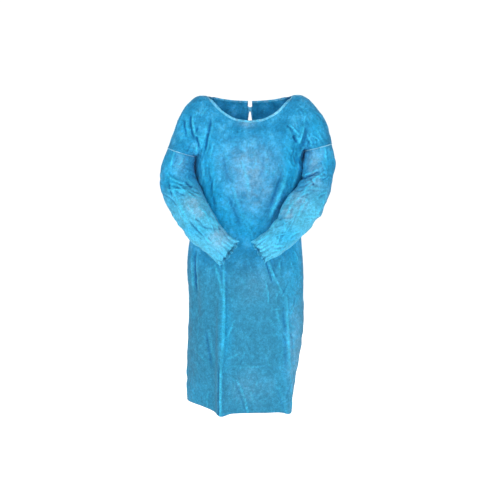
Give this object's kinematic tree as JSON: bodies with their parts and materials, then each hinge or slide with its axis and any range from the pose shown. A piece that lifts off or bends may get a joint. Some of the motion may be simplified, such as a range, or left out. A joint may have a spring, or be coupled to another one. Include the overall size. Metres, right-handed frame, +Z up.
{
  "type": "isolation gown, worn",
  "caption": "Long-sleeved isolation gown in its hollow worn form, with a scoop neck, dropped sleeves meeting in front, elastic wrists and an open tied back.",
  "frame": {"origin": "between the shoulders at the height of the shoulder tops, where the wearer's shoulders carry the gown", "axes": "+Z up along the body, the front faces -Y, +X is the wearer's left (right in the picture)"},
  "size_m": [0.6047, 0.3994, 1.0803],
  "materials": {
    "body_cloth": "matt spunbond nonwoven",
    "elastic_hem": "matt gathered nonwoven",
    "binding_tape": "matt nonwoven tape"
  },
  "bodies": {
    "root": {"front_panel": "body_cloth", "back_right_panel": "body_cloth", "back_left_panel": "body_cloth", "sleeve_right": "body_cloth", "sleeve_left": "body_cloth", "cuff_right": "elastic_hem", "cuff_left": "elastic_hem", "neck_binding": "binding_tape", "neck_tie_right": "binding_tape", "neck_tie_left": "binding_tape", "waist_tie_right": "binding_tape", "waist_tie_left": "binding_tape"}
  },
  "joints": []
}
